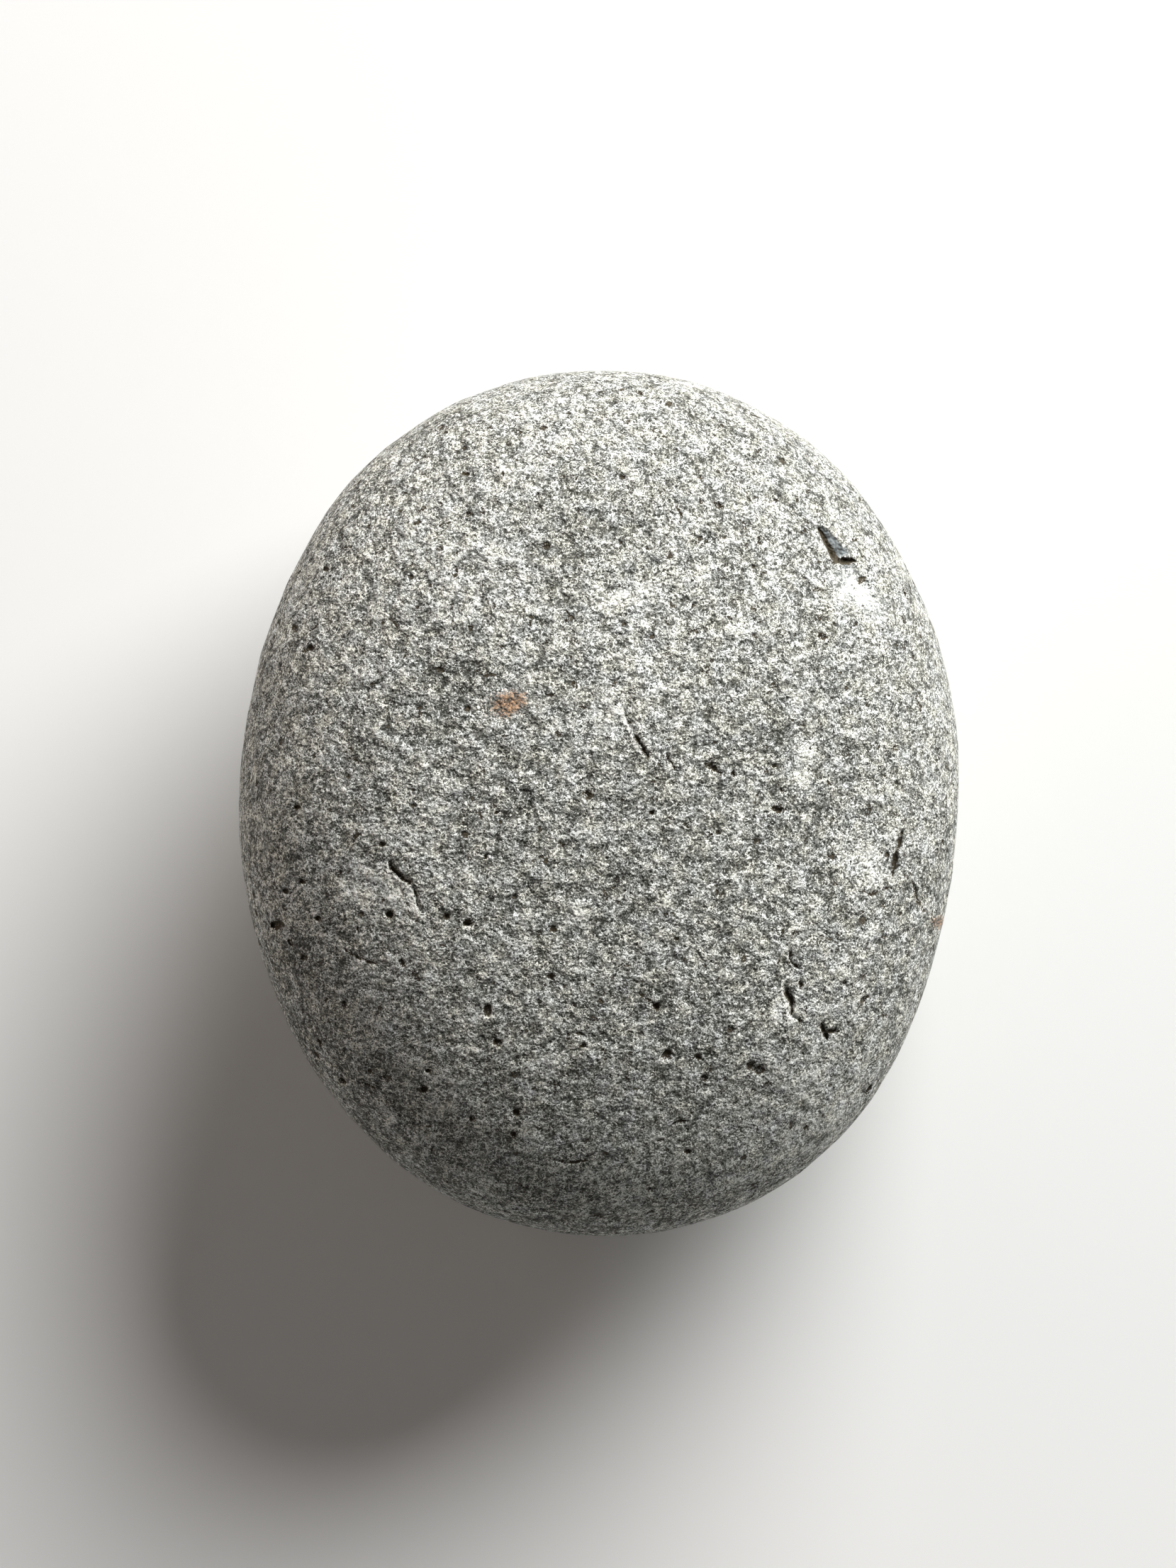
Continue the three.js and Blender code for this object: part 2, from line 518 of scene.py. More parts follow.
# The pits that stand out on the top
PITS: tuple[Mark, ...] = (
    Pit(-14.1, -5.3, 0.62, 0.56, 0.34), Pit(-12.3, -5.0, 0.34, 0.28, 0.18),
    Pit(-13.0, -3.4, 0.4, 0.3, 0.2, -40), Pit(-13.7, -3.8, 0.28, 0.24, 0.16),
    Pit(-6.7, -4.9, 0.3, 0.26, 0.18), Pit(-4.5, -0.4, 0.4, 0.24, 0.16, 30),
    Pit(-12.9, -6.7, 0.4, 0.34, 0.16), Pit(-13.5, -6.1, 0.34, 0.22, 0.18, -70),
    Pit(-9.2, -4.8, 0.46, 0.4, 0.3, 20, white=0.4), Pit(-5.8, -5.2, 0.58, 0.32, 0.24, 0, white=0.4),
    Pit(-9.5, -1.8, 0.32, 0.26, 0.16), Pit(-5.0, -2.3, 0.48, 0.22, 0.2, 62),
    Pit(-7.7, -12.4, 0.42, 0.36, 0.2), Pit(-7.5, -11.6, 0.32, 0.24, 0.15),
    Pit(-3.7, -13.4, 0.36, 0.3, 0.18), Pit(-2.2, -7.5, 0.32, 0.26, 0.16),
    Pit(-0.8, -10.5, 0.32, 0.24, 0.15), Pit(2.2, -0.4, 0.28, 0.28, 0.26),
    Pit(2.4, -8.8, 0.42, 0.32, 0.26, -60), Pit(7.7, -0.3, 0.52, 0.26, 0.2, -15),
    Pit(7.5, 1.6, 0.32, 0.24, 0.16), Pit(5.1, -1.3, 0.3, 0.22, 0.14), Pit(3.3, -5.9, 0.3, 0.22, 0.14),
    Pit(4.2, -11.0, 0.32, 0.26, 0.16), Pit(3.8, -15.1, 0.34, 0.26, 0.16),
    Pit(10.6, -7.8, 0.34, 0.28, 0.18), Pit(-13.2, -0.2, 0.34, 0.28, 0.18),
    Pit(-5.8, 12.5, 0.32, 0.26, 0.16), Pit(-12.0, 10.1, 0.32, 0.26, 0.16),
    Pit(-12.6, 6.7, 0.36, 0.26, 0.16), Pit(-7.0, 5.8, 0.3, 0.24, 0.14),
)

# The bent crack low on the left, and the thin smile below it
LOW_LEFT_CRACKS: tuple[Mark, ...] = (
    Crack(((-9.2, -2.5), (-9.1, -2.8), (-8.8, -3.1), (-8.2, -3.5)), 0.28, 0.32, lip=-0.9, lip_width=0.2),
    Crack(((-8.2, -3.5), (-8.0, -4.0), (-8.0, -4.3), (-7.8, -4.7)),
          0.15, 0.2, 0.95, lip=-0.9, lip_width=0.3),
    Crack(((-11.2, -6.3), (-10.8, -6.6), (-10.3, -6.8), (-9.7, -7.0)), 0.16, 0.16, lip=0.3),
    Crack(((-9.7, -7.0), (-9.1, -7.0), (-8.1, -6.8)), 0.1, 0.08, 0.5, lip=0.2),
)

# The broken chain of cracks near the middle
MIDDLE_CRACKS: tuple[Mark, ...] = (
    Crack(((1.0, 4.2), (1.1, 3.7), (1.3, 3.3), (1.4, 3.0)), 0.13, 0.16, grime_and_shade=0.8, lip=-0.8),
    Crack(((1.4, 3.1), (1.6, 2.7), (1.8, 2.4), (2.1, 1.9)), 0.22, 0.26, lip=-0.8),
    Crack(((2.8, 2.3), (2.9, 1.9), (3.1, 1.7), (3.2, 1.4)), 0.15, 0.18, grime_and_shade=0.9, lip=0.7),
    Crack(((4.5, 1.7), (5.0, 1.4), (5.4, 1.2)), 0.2, 0.2, lip=0.6),
    Crack(((4.7, 1.7), (5.1, 1.4)), 0.2, 0.2, lip=-0.4),
    Crack(((5.7, 1.4), (5.8, 1.1)), 0.22, 0.2, lip=0.0),
)

# The cracks and the shallow hollow on the right flank
RIGHT_FLANK_MARKS: tuple[Mark, ...] = (
    Crack(((13.1, -1.2), (12.9, -2.1), (12.7, -2.9), (12.7, -3.3)), 0.28, 0.34, lip=-0.5),
    Crack(((11.4, -3.8), (11.8, -4.0), (12.4, -3.7), (12.7, -3.7)), 0.16, 0.14, lip=-0.3),
    Crack(((13.5, -3.3), (13.7, -3.6), (13.8, -4.2), (14.1, -4.7), (14.6, -5.0)), 0.2, 0.16, 0.75, lip=0.4),
    Pit(14.2, -4.1, 1.3, 0.8, 0.12, 100, grime_and_shade=0.1, steepness=0.5),
)

# The deep cracks low on the right
LOW_RIGHT_CRACKS: tuple[Mark, ...] = (
    Crack(((8.2, -6.2), (8.3, -6.9), (8.7, -7.2)), 0.24, 0.26, lip=-0.4),
    Crack(((8.7, -7.7), (8.7, -8.1)), 0.2, 0.2, lip=-0.3),
    Crack(((8.0, -7.8), (8.1, -8.2), (8.3, -8.6), (8.3, -9.2), (8.7, -9.5)), 0.27, 0.3, lip=-0.8),
    Crack(((9.6, -9.5), (9.7, -9.9), (9.9, -10.3)), 0.3, 0.32, lip=-0.4),
    Crack(((9.7, -9.9), (10.4, -9.9)), 0.2, 0.24, lip=0.0),
)

# Hair cracks and knock marks
FINE_CRACKS: tuple[Mark, ...] = (
    Crack(((2.3, -8.7), (1.9, -8.4), (1.6, -8.2)), 0.12, 0.1, lip=0.2),
    Crack(((-9.3, 8.0), (-9.0, 7.8), (-8.8, 7.5)), 0.14, 0.12, lip=0.3),
    Crack(((-2.3, -15.4), (-1.5, -15.6), (-0.6, -15.5)), 0.12, 0.1, lip=0.2),
    crescent(-10.9, 1.5, 0.45, 60, 110, 0.13), crescent(5.4, -3.6, 0.42, 215, 90, 0.14),
    crescent(9.9, -5.5, 0.42, 250, 110, 0.12),
)

# The rust stains, the paler and darker patches of the grain, and darker patches of painted shade
STAINS_AND_TONES: tuple[Mark, ...] = (
    Patch(-8.8, -4.1, 1.3, 0.8, 0.14, -55), Patch(-4.0, 4.3, 2.1, 1.25, 0.64, 10, Layer.RUST),
    Patch(-3.9, 4.3, 2.0, 1.2, 0.08, 10), Patch(14.8, -5.2, 0.9, 0.7, 0.5, 0, Layer.RUST),
    Patch(11.9, -2.9, 1.9, 1.5, 0.1, 60), Patch(-6.2, 9.8, 8.0, 6.0, 0.075, -20),
    # Patch(-12.5, -9.5, ..., -0.04) is painted shade over the lower left.
    Patch(8.5, -12.5, 10.0, 7.0, 0.05, 45), Patch(-12.5, -9.5, 9.0, 5.0, -0.04, -60),
    # Patch(14.0, -4.0, ..., -0.05) is painted shade in the right flank's shallow hollow.
    Patch(14.0, -4.0, 1.6, 1.2, -0.05), Patch(0.6, 8.8, 3.2, 1.4, 0.14, 20),
    Patch(0.2, 3.9, 2.6, 1.6, 0.13, -50), Patch(8.9, 1.9, 2.2, 1.1, 0.2, 65),
    Patch(11.2, -2.3, 1.8, 1.6, 0.16), Patch(-10.0, -3.8, 4.0, 2.0, 0.1, -30),
    Patch(-1.1, -4.8, 1.8, 1.2, 0.1), Patch(2.7, -4.8, 1.8, 1.0, 0.1, 80),
    Patch(-2.7, -11.2, 1.2, 0.9, 0.22), Patch(7.9, -9.1, 1.5, 1.2, 0.22),
    Patch(-6.0, 5.4, 3.0, 2.2, -0.08), Patch(7.3, 2.9, 1.8, 1.4, -0.08), Patch(-3.4, 0.3, 1.8, 1.4, -0.06),
    Patch(-6.5, -4.8, 2.4, 1.6, -0.07), Patch(2.2, -8.4, 1.8, 1.4, -0.08),
)

TOP_MARKS = (SLOT_AND_CHIP + PITS + LOW_LEFT_CRACKS + MIDDLE_CRACKS + RIGHT_FLANK_MARKS
             + LOW_RIGHT_CRACKS + FINE_CRACKS + STAINS_AND_TONES)


# ---------------------------------------------------------------- the skin's grid


def read_points(mesh: bpy.types.Mesh) -> Array:
    """Reads where the mesh's vertices are.

    Args:
        mesh: The mesh.

    Returns:
        Its vertices, one row of three for each.
    """
    places = np.empty(3 * len(mesh.vertices))
    mesh.vertices.foreach_get("co", places)
    return places.reshape(-1, 3)


def move_points(mesh: bpy.types.Mesh, points: Array) -> None:
    """Moves the mesh's vertices to these points."""
    mesh.vertices.foreach_set("co", points.ravel())
    mesh.update()


def facing(mesh: bpy.types.Mesh, points: Array) -> Array:
    """Moves the mesh's vertices to these points, and gives the way that each then faces.

    Args:
        mesh: The mesh.
        points: Where its vertices go.

    Returns:
        The normals, one row of three for each vertex.
    """
    move_points(mesh, points)
    normals = np.empty(3 * len(mesh.vertices))
    mesh.vertex_normals.foreach_get("vector", normals)
    return normals.reshape(-1, 3)


@dataclass(frozen=True)
class CubeGrid:
    """A closed grid of squares on a cube from -1 to 1, which is later blown out to the pebble."""

    cells: int
    fine_cuts: int

    def build(self) -> bpy.types.Mesh:
        """Makes the grid, with all its squares facing out.

        On each face of the cube two whole numbers run over a grid and the third stays at 0 or at the
        top. The three numbers give every corner one key, so corners on shared edges are one vertex.

        Returns:
            The mesh.
        """
        top = self.cells
        first, second = np.meshgrid(np.arange(top + 1), np.arange(top + 1), indexing="ij")
        squares = []
        for axis in range(3):
            for level in (0, top):
                corner = np.empty((top + 1, top + 1, 3), dtype=np.int64)
                corner[..., axis] = level
                corner[..., (axis + 1) % 3] = first
                corner[..., (axis + 2) % 3] = second
                key = (corner * np.array([(top + 1) ** 2, top + 1, 1])).sum(axis=-1)
                square = np.stack([key[:-1, :-1], key[1:, :-1], key[1:, 1:], key[:-1, 1:]], axis=-1)
                squares.append((square if level else square[..., ::-1]).reshape(-1, 4))
        keys, faces = np.unique(np.concatenate(squares), return_inverse=True)
        places = np.column_stack([keys // (top + 1) ** 2, keys // (top + 1) % (top + 1), keys % (top + 1)])
        mesh = bpy.data.meshes.new("pebble_skin")
        mesh.from_pydata((places * 2.0 / top - 1.0).tolist(), [], faces.reshape(-1, 4).tolist())
        return mesh

    def refine(self, mesh: bpy.types.Mesh, near: Array) -> None:
        """Cuts squares finer where detail is wanted, and fits the squares around them.

        Args:
            mesh: The grid, still all squares.
            near: For each vertex, whether detail is wanted there.
        """
        corners = np.empty(len(mesh.loops), dtype=np.int32)
        mesh.loops.foreach_get("vertex_index", corners)
        chosen = np.flatnonzero(near[corners.reshape(-1, 4)].any(axis=1))
        fine = bmesh.new()
        fine.from_mesh(mesh)
        fine.faces.ensure_lookup_table()
        edges = {edge.index: edge for face in chosen for edge in fine.faces[face].edges}
        bmesh.ops.subdivide_edges(fine, edges=[edges[index] for index in sorted(edges)], cuts=self.fine_cuts,
                                  use_grid_fill=True)
        fine.to_mesh(mesh)
        fine.free()


def bow(cube: Array, stretch: Array) -> Array:
    """Turns places on the cube into directions that share the pebble's skin out evenly.

    Args:
        cube: Places on the cube from -1 to 1.
        stretch: The pebble's half sizes.

    Returns:
        Directions: each place is bent by a tangent, made one long, and stretched.
    """
    bent = np.tan(cube * np.pi / 4)
    return bent / np.linalg.norm(bent, axis=1)[:, None] * stretch


# ---------------------------------------------------------------- materials


def add_node(tree: Tree, kind: str, inputs: Mapping[str | int, object] | None = None,
             **settings: object) -> bpy.types.Node:
    """Adds one node to a material, sets it up and links it.

    Args:
        tree: The material's node tree.
        kind: The node's type.
        inputs: For each input, by name or place, either a value or the socket that feeds it.
        settings: The node's own properties.

    Returns:
        The node.
    """
    node = tree.nodes.new(kind)
    for name, value in settings.items():
        setattr(node, name, value)
    for name, value in (inputs or {}).items():
        if isinstance(value, Socket):
            tree.links.new(value, node.inputs[name])
        else:
            node.inputs[name].default_value = value
    return node


def linear(code: str) -> tuple[float, float, float, float]:
    """Turns an sRGB hex colour such as "#9a9a92" into linear red, green, blue and alpha."""
    parts = (int(code[i:i + 2], 16) / 255 for i in (1, 3, 5))
    return (*(p / 12.92 if p <= 0.04045 else ((p + 0.055) / 1.055) ** 2.4 for p in parts), 1.0)


@dataclass(frozen=True)
class Lumps:
    """Noise whose lumps have a size in millimetres, with finer noise on top."""

    size: float
    detail: float = 1.0
    roughness: float = 0.6

    def inputs(self, place: Socket) -> dict[str | int, object]:
        """What a noise node needs to draw these lumps, where place is in millimetres."""
        return {"Vector": place, "Scale": 1 / self.size, "Detail": self.detail, "Roughness": self.roughness}


@dataclass(frozen=True)
class RiverWornStone:
    """Fine-grained volcanic stone, worn matt by a river.

    Pale feldspar needles are felted into a darker ground, and knocks have frosted the skin. That
    gives the eye a dry, crisp speckle of white on grey at arm's length, with no shine. Sizes are in
    millimetres, and a weight is how much a pattern counts in the speckle.
    """

    name: str = "volcanic_stone_river_worn"
    # Needles: length and thickness, and how each set is turned, in radians about each axis
    needle: Place = (0.23, 0.065)
    needle_turns: tuple[tuple[float, float, float], ...] = (
        (0.0, 0.1, 0.5), (0.2, 1.2, 1.6), (-0.3, 0.5, 2.7))
    needle_weight: float = 0.16
    # How far the needles wander from straight, over what distance, and how far noise usually swings
    sway: float = 0.07
    sway_lumps: Lumps = Lumps(0.3)
    usual_swing: float = 0.15
    # Flecks: how broad, how long beside their size, where a stretch breaks off, and their share
    fleck_sizes: Place = (0.13, 0.19)
    fleck_width: float = 0.04
    fleck_run: float = 2.2
    fleck_gate: Place = (0.47, 0.53)
    fleck_share: float = 0.15
    fleck_weight: float = 0.24
    # Grain, clumps, clouds and relief; the relief's weight also paints its rises paler and its dips darker,
    # as painted light and shade
    grain: Lumps = Lumps(0.17, 2.0, 1.0)
    grain_weight: float = 0.9
    clump: Lumps = Lumps(0.72, 2.0)
    clump_weight: float = 0.28
    cloud: Lumps = Lumps(5.0, 2.0, 0.5)
    cloud_weight: float = 0.12
    relief: Lumps = Lumps(0.9, 3.0, 0.65)
    relief_shading_weight: float = 0.44
    relief_height: float = 0.6
    grain_height: float = 0.04
    # Pores: round ones in a foam, some of whose cells hold none, and ragged ones in troughs of noise
    pore_spacing: float = 1.15
    pore_radius: float = 0.25
    poreless: float = 0.35
    pore_edge: float = 0.5
    pore_depth: float = 0.5
    hollow: Lumps = Lumps(0.55, 3.0, 0.7)
    hollow_level: Place = (0.37, 0.31)
    # Wear: how hard the grain pulls at a layer's edge, and what amounts begin and finish that edge
    pull: float = 0.9
    grime_and_shade_pull: float = -1.5
    mid_tone: float = 0.45
    wear_edge: Place = (0.25, 0.7)
    wear_start: Place = (0.02, 0.2)
    # Shine: roughness of the palest and the darkest grain, and the tones of both
    roughness: Place = (0.62, 0.9)
    rough_tones: Place = (0.7, 0.3)
    ior: float = 1.5
    # Colours: the speckle's shades from dark to pale, the wear, whose dark brown is grime and painted shade
    # in hollows, and two tints that it drifts between
    shades: tuple[tuple[float, str], ...] = (
        (0.19, "#34342d"), (0.277, "#52534d"), (0.373, "#767772"), (0.45, "#959691"), (0.537, "#bcbeb8"),
        (0.614, "#eef0ea"), (0.7, "#fdfefa"))
    # The dark brown of pits, cracks, pores and the slot: grime, and painted shade in hollows.
    grime_and_shade: str = "#453d2c"
    crushed: str = "#f1f0e8"
    fresh: str = "#868c8d"
    rust: str = "#cfa585"
    warm: str = "#fffcf4"
    cool: str = "#f9fafc"
    tint: Lumps = Lumps(0.8)
    tint_levels: Place = (0.3, 0.7)

    def needles(self, tree: Tree, place: Socket, turn: tuple[float, float, float]) -> Socket:
        """One set of crystal needles: a random foam drawn out along one direction.

        Args:
            tree: The material's nodes.
            place: Where a point lies, in millimetres.
            turn: How the needles are turned, in radians about each axis.

        Returns:
            A random value from 0 to 1 for each needle.
        """
        long, thin = self.needle
        drawn = add_node(tree, "ShaderNodeMapping", {"Vector": place, "Rotation": turn,
                                                     "Scale": (long, thin, thin)}, vector_type="TEXTURE")
        foam = add_node(tree, "ShaderNodeTexVoronoi", {"Vector": drawn.outputs[0], "Scale": 1.0})
        return add_node(tree, "ShaderNodeSeparateColor", {"Color": foam.outputs["Color"]}).outputs[0]

    def flecks(self, tree: Tree, place: Socket, size: float) -> Socket:
        """Short bright fibres: thin curves where noise crosses its middle, broken up by coarser noise.

        Args:
            tree: The material's nodes.
            place: Where a point lies, in millimetres.
            size: The size of the noise's lumps, in millimetres.

        Returns:
            1 on a fibre and 0 between them.
        """
        winding = add_node(tree, "ShaderNodeTexNoise", Lumps(size).inputs(place)).outputs["Fac"]
        curve = add_node(tree, "ShaderNodeMath", {0: winding, 1: 0.5, 2: self.fleck_width},
                         operation="COMPARE")
        coarser = add_node(tree, "ShaderNodeTexNoise", Lumps(self.fleck_run * size).inputs(place))
        gate = add_node(tree, "ShaderNodeMapRange", {"Value": coarser.outputs["Fac"],
                                                     "From Min": self.fleck_gate[0],
                                                     "From Max": self.fleck_gate[1]})
        return add_node(tree, "ShaderNodeMath", {0: curve.outputs[0], 1: gate.outputs[0]},
                        operation="MULTIPLY").outputs[0]

    def pores(self, tree: Tree, place: Socket) -> Socket:
        """The smallest pits: ragged ones in the troughs of noise, and rounder ones in a random foam.

        Args:
            tree: The material's nodes.
            place: Where a point lies, in millimetres.

        Returns:
            1 in a pore and 0 outside.
        """
        foam = add_node(tree, "ShaderNodeTexVoronoi", {"Vector": place, "Scale": 1 / self.pore_spacing})
        pick = add_node(tree, "ShaderNodeSeparateColor", {"Color": foam.outputs["Color"]})
        largest = self.pore_radius / self.pore_spacing
        radius = add_node(tree, "ShaderNodeMapRange", {"Value": pick.outputs[0], "From Min": self.poreless,
                                                       "To Min": 0.0, "To Max": largest})
        inner = add_node(tree, "ShaderNodeMath", {0: radius.outputs[0], 1: foam.outputs["Distance"]},
                         operation="SUBTRACT")
        round_ones = add_node(tree, "ShaderNodeMapRange",
                              {"Value": inner.outputs[0], "From Max": self.pore_edge * largest},
                              interpolation_type="SMOOTHSTEP")
        trough = add_node(tree, "ShaderNodeTexNoise", self.hollow.inputs(place)).outputs["Fac"]
        ragged_ones = add_node(tree, "ShaderNodeMapRange",
                               {"Value": trough, "From Min": self.hollow_level[0],
                                "From Max": self.hollow_level[1]}, interpolation_type="SMOOTHSTEP")
        return add_node(tree, "ShaderNodeMath", {0: round_ones.outputs[0], 1: ragged_ones.outputs[0]},
                        operation="MAXIMUM").outputs[0]

    def speckle(self, tree: Tree, place: Socket, relief: Socket, tone: Socket) -> Socket:
        """The tone of the grain: each pattern less its middle, times its weight, all added up.

        The needles are drawn in a place that noise sways, so that they bend a little. The grain keeps
        its middle, which is what sets the mean tone.

        Args:
            tree: The material's nodes.
            place: Where a point lies, in millimetres.
            relief: The height of the low relief, from 0 to 1, which is also painted in: paler on its rises
                and darker in its dips, as painted light and shade.
            tone: How much paler or darker a patch is.

        Returns:
            The tone, about 0.2 in the darkest grain and 0.7 in the palest.
        """
        wind = add_node(tree, "ShaderNodeTexNoise", self.sway_lumps.inputs(place)).outputs["Color"]
        centred = add_node(tree, "ShaderNodeVectorMath", {0: wind, 1: (-0.5,) * 3})
        swayed = add_node(tree, "ShaderNodeVectorMath",
                          {0: centred.outputs[0], 1: (self.sway / self.usual_swing,) * 3, 2: place},
                          operation="MULTIPLY_ADD").outputs[0]
        parts = [(self.needles(tree, swayed, turn), self.needle_weight, 0.5) for turn in self.needle_turns]
        parts += [(self.flecks(tree, place, size), self.fleck_weight, self.fleck_share)
                  for size in self.fleck_sizes]
        for lumps, weight, middle in ((self.grain, self.grain_weight, 0.0),
                                      (self.clump, self.clump_weight, 0.5),
                                      (self.cloud, self.cloud_weight, 0.5)):
            noise = add_node(tree, "ShaderNodeTexNoise", lumps.inputs(place))
            parts.append((noise.outputs["Fac"], weight, middle))
        # The low relief tones the grain too: painted light on its rises and painted shade in its dips.
        parts.append((relief, self.relief_shading_weight, 0.5))
        total = tone
        for part, weight, middle in parts:
            share = add_node(tree, "ShaderNodeMath", {0: part, 1: weight, 2: -weight * middle},
                             operation="MULTIPLY_ADD")
            total = add_node(tree, "ShaderNodeMath", {0: total, 1: share.outputs[0]}).outputs[0]
        return total

    def clean(self, tree: Tree, place: Socket, speckle: Socket) -> Socket:
        """The clean stone's colour: the speckle's shades, tinted a little warmer here and cooler there.

        Args:
            tree: The material's nodes.
            place: Where a point lies, in millimetres.
            speckle: The grain's tone.

        Returns:
            The colour.
        """
        ramp = add_node(tree, "ShaderNodeValToRGB", {"Fac": speckle})
        elements = ramp.color_ramp.elements
        for index, (position, code) in enumerate(self.shades):
            element = elements[index] if index < len(elements) else elements.new(position)
            element.position, element.color = position, linear(code)
        drift = add_node(tree, "ShaderNodeTexNoise", self.tint.inputs(place)).outputs["Fac"]
        hue = add_node(tree, "ShaderNodeMapRange", {"Value": drift, "From Min": self.tint_levels[0],
                                                    "From Max": self.tint_levels[1]})
        tint = add_node(tree, "ShaderNodeMix",
                        {0: hue.outputs[0], 6: linear(self.warm), 7: linear(self.cool)},
                        data_type="RGBA").outputs[2]
        return add_node(tree, "ShaderNodeMix", {0: 1.0, 6: ramp.outputs["Color"], 7: tint},
                        data_type="RGBA", blend_type="MULTIPLY").outputs[2]

    def frayed(self, tree: Tree, amount: Socket, speckle: Socket, pull: float) -> Socket:
        """Frays the edge of a layer of wear along the grain.

        Args:
            tree: The material's nodes.
            amount: How much of the layer lies there, from 0 to 1.
            speckle: The grain's tone.
            pull: How far pale grain draws the edge out, or holds it back when below 0.

        Returns:
            Nearly 1 where the layer lies and nearly 0 elsewhere.
        """
        drawn = add_node(tree, "ShaderNodeMath", {0: speckle, 1: pull, 2: -self.mid_tone * pull},
                         operation="MULTIPLY_ADD")
        added = add_node(tree, "ShaderNodeMath", {0: drawn.outputs[0], 1: amount})
        edge = add_node(tree, "ShaderNodeMapRange", {"Value": added.outputs[0], "From Min": self.wear_edge[0],
                                                     "From Max": self.wear_edge[1]},
                        interpolation_type="SMOOTHSTEP")
        held = add_node(tree, "ShaderNodeMapRange", {"Value": amount, "From Min": self.wear_start[0],
                                                     "From Max": self.wear_start[1]})
        return add_node(tree, "ShaderNodeMath", {0: edge.outputs[0], 1: held.outputs[0]},
                        operation="MULTIPLY").outputs[0]

    def weathered(self, tree: Tree, colour: Socket, speckle: Socket, worn: Mapping[Layer, Socket]) -> Socket:
        """Lays the wear over the clean stone: fresh splits, crushed stone, rust, and grime with painted
        shade, in that order.

        Args:
            tree: The material's nodes.
            colour: The clean stone's colour.
            speckle: The grain's tone.
            worn: How much of each layer lies there.

        Returns:
            The colour of the worn stone.
        """
        colour = add_node(tree, "ShaderNodeMix", {0: worn[Layer.SPLIT], 6: colour, 7: linear(self.fresh)},
                          data_type="RGBA").outputs[2]
        for layer, pull, blend, code in ((Layer.BRUISE, self.pull, "MIX", self.crushed),
                                         (Layer.RUST, self.pull, "MULTIPLY", self.rust),
                                         (Layer.GRIME_AND_SHADE, self.grime_and_shade_pull, "MIX", self.grime_and_shade)):
            amount = self.frayed(tree, worn[layer], speckle, pull)
            colour = add_node(tree, "ShaderNodeMix", {0: amount, 6: colour, 7: linear(code)},
                              data_type="RGBA", blend_type=blend).outputs[2]
        return colour

    def material(self) -> bpy.types.Material:
        """Builds the stone: its speckle, the wear on it, and the low relief that catches the light, whose
        dips the speckle also darkens as painted shade.

        Pores count as grime and shade: they are darkened with painted shade. Two bumps follow each other: the
        relief with its pores, then the grain, which a fresh split doesn't have.

        Returns:
            The material.
        """
        material = bpy.data.materials.new(self.name)
        material.use_nodes = True
        tree = material.node_tree
        tree.nodes.clear()
        worn = {layer: add_node(tree, "ShaderNodeAttribute", attribute_name=layer.value).outputs["Fac"]
                for layer in Layer if layer is not Layer.CUT}
        metres = add_node(tree, "ShaderNodeTexCoord").outputs["Object"]
        place = add_node(tree, "ShaderNodeVectorMath", {0: metres, "Scale": 1 / MM},
                         operation="SCALE").outputs[0]
        relief = add_node(tree, "ShaderNodeTexNoise", self.relief.inputs(place)).outputs["Fac"]
        pores = self.pores(tree, place)
        # Pores are darkened too: painted shade in them.
        worn[Layer.GRIME_AND_SHADE] = add_node(tree, "ShaderNodeMath", {0: worn[Layer.GRIME_AND_SHADE], 1: pores},
                                     operation="MAXIMUM").outputs[0]
        speckle = self.speckle(tree, place, relief, worn[Layer.TONE])
        colour = self.weathered(tree, self.clean(tree, place, speckle), speckle, worn)
        rough = add_node(tree, "ShaderNodeMapRange", {
            "Value": speckle, "From Min": self.rough_tones[0], "From Max": self.rough_tones[1],
            "To Min": self.roughness[0], "To Max": self.roughness[1]})
        height = add_node(tree, "ShaderNodeMath", {0: pores, 1: -self.pore_depth, 2: relief},
                          operation="MULTIPLY_ADD")
        lumps = add_node(tree, "ShaderNodeBump", {"Height": height.outputs[0], "Strength": 1.0,
                                                  "Distance": self.relief_height * MM})
        crisp = add_node(tree, "ShaderNodeMath", {0: 1.0, 1: worn[Layer.SPLIT]}, operation="SUBTRACT")
        bump = add_node(tree, "ShaderNodeBump", {
            "Height": speckle, "Strength": crisp.outputs[0], "Normal": lumps.outputs[0],
            "Distance": self.grain_height * MM})
        surface = add_node(tree, "ShaderNodeBsdfPrincipled", {
            "Base Color": colour, "Roughness": rough.outputs[0], "IOR": self.ior, "Normal": bump.outputs[0]})
        add_node(tree, "ShaderNodeOutputMaterial", {"Surface": surface.outputs[0]})
        return material


@dataclass(frozen=True)
class MattPaper:
    """Uncoated white paper, as photographers roll out: an even, shineless near-white."""

    name: str = "paper_uncoated"
    colour: str = "#f4f4f2"
    roughness: float = 0.95

    def material(self) -> bpy.types.Material:
        """Builds the paper: one colour and one roughness, too fine in its fibres to show any.

        Returns:
            The material.
        """
        material = bpy.data.materials.new(self.name)
        material.use_nodes = True
        tree = material.node_tree
        tree.nodes.clear()
        surface = add_node(tree, "ShaderNodeBsdfPrincipled", {"Base Color": linear(self.colour),
                                                              "Roughness": self.roughness})
        add_node(tree, "ShaderNodeOutputMaterial", {"Surface": surface.outputs[0]})
        return material


# ---------------------------------------------------------------- the pebble

# A mark is cut only where the skin faces its sheet by more than this cosine
LEAST_FACING = 0.03
# Added to a direction so that it never lines up with the one it is crossed with
SKEW = np.array([0.0, 0.1, 0.2])


